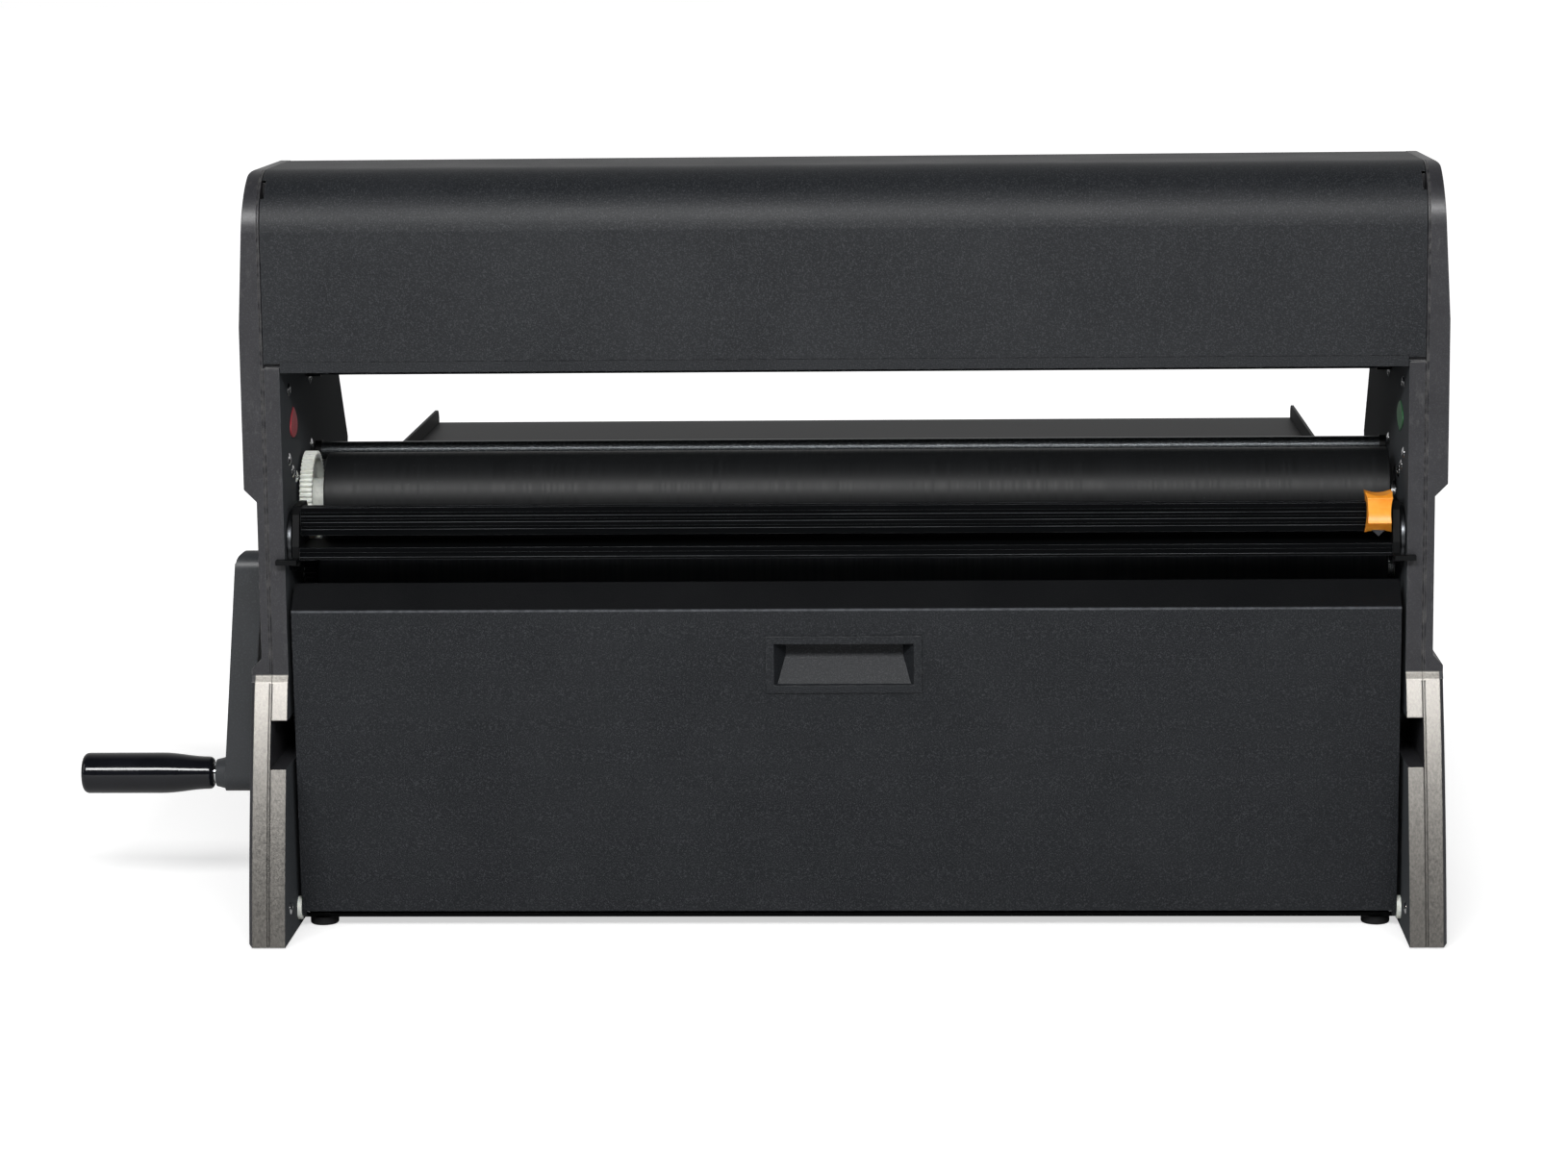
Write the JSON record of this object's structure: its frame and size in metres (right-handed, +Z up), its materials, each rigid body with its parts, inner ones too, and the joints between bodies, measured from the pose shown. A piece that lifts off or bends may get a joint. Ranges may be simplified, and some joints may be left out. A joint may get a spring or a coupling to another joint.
{
  "type": "cold laminator",
  "caption": "Wide hand-cranked cold laminator with geared nip rollers, hinged cover and door, sliding sheet cutter and folding feed tray.",
  "frame": {"origin": "middle of the overall footprint, crank and tray included, on the table", "axes": "+X along the rollers towards the end without the crank, +Y from the exit side to the feed side, +Z up"},
  "size_m": [0.8912, 0.627, 0.4915],
  "materials": {
    "shell": "moulded, fine grain",
    "charcoal": "moulded, fine grain",
    "tray_paint": "fine textured paint",
    "black_sheet": "satin",
    "black_rubber": "matt",
    "roller_rubber": "satin, ground",
    "steel": "satin",
    "bright_screws": "bright zinc",
    "chrome": "polished",
    "dark_rod": "gloss black",
    "white_plastic": "moulded",
    "dark_plastic": "satin",
    "crank_paint": "satin",
    "grip_black": "polished",
    "black_anodised": "anodised",
    "orange_plastic": "moulded",
    "red_mark": "smooth",
    "green_mark": "smooth"
  },
  "bodies": {
    "frame": {"left_outer_shell": "shell", "right_outer_shell": "shell", "left_inner_shell": "shell", "right_inner_shell": "shell", "base_plate": "black_sheet", "feet": "black_rubber", "rear_panel": "black_sheet", "rear_cover": "charcoal", "cover_hinge_pins": "steel", "door_hinge_pins": "steel", "door_washers": "white_plastic", "upper_bearings": "white_plastic", "lower_bearings": "white_plastic", "pressure_springs": "steel", "cutter_rail": "black_anodised", "cutter_bed": "black_anodised", "left_cutter_bracket": "dark_plastic", "right_cutter_bracket": "dark_plastic", "cutter_discs": "steel", "upper_rod": "chrome", "guide_rod": "dark_rod", "rod_sockets": "dark_plastic", "wall_screws": "bright_screws", "left_film_mark": "red_mark", "right_film_mark": "green_mark", "feed_table": "black_sheet", "tray_hinge_pins": "steel"},
    "top_cover": {"top_cover": "charcoal"},
    "lower_door": {"lower_door": "charcoal", "door_pull_cup": "charcoal"},
    "drive_roller": {"lower_roller_shaft": "steel", "lower_roller_sleeve": "roller_rubber", "drive_pinion": "dark_plastic", "crank_spacer": "dark_plastic", "crank_arm": "crank_paint", "crank_screw": "steel", "grip_spindle": "chrome"},
    "upper_roller": {"upper_roller_shaft": "steel", "upper_roller_sleeve": "roller_rubber", "upper_gear": "white_plastic"},
    "crank_grip": {"crank_grip": "grip_black"},
    "cutter": {"cutter_slider": "orange_plastic", "cutter_shoe": "dark_plastic", "cutter_blade": "steel"},
    "feed_tray": {"feed_tray": "tray_paint", "tray_hinge_tube": "tray_paint", "left_tray_fence": "tray_paint", "right_tray_fence": "tray_paint", "fence_screws": "bright_screws"}
  },
  "joints": [
    {"name": "crank_turn", "type": "hinge", "parent": "frame", "child": "drive_roller", "pos_m": [0.0641, -0.1885, 0.22699], "axis": [1, 0, 0], "continuous": true},
    {"name": "upper_roller_spin", "type": "hinge", "parent": "frame", "child": "upper_roller", "pos_m": [0.0641, -0.1885, 0.27365], "axis": [1, 0, 0], "continuous": true},
    {"name": "grip_spin", "type": "hinge", "parent": "drive_roller", "child": "crank_grip", "pos_m": [-0.3959, -0.1885, 0.08919], "axis": [1, 0, 0], "continuous": true},
    {"name": "cutter_slide", "type": "slide", "parent": "frame", "child": "cutter", "axis": [1, 0, 0], "range_m": [-0.675, 0]},
    {"name": "door_open", "type": "hinge", "parent": "frame", "child": "lower_door", "pos_m": [0.0641, -0.256, 0.0135], "axis": [1, 0, 0], "range_deg": [0, 85]},
    {"name": "cover_open", "type": "hinge", "parent": "frame", "child": "top_cover", "pos_m": [0.0641, -0.1405, 0.4865], "axis": [-1, 0, 0], "range_deg": [0, 100]},
    {"name": "tray_fold", "type": "hinge", "parent": "frame", "child": "feed_tray", "pos_m": [0.0641, -0.0335, 0.256], "axis": [1, 0, 0], "range_deg": [0, 85]}
  ],
  "couplings": [
    {"joint": "upper_roller_spin", "follows": "crank_turn", "ratio": -0.57143}
  ]
}
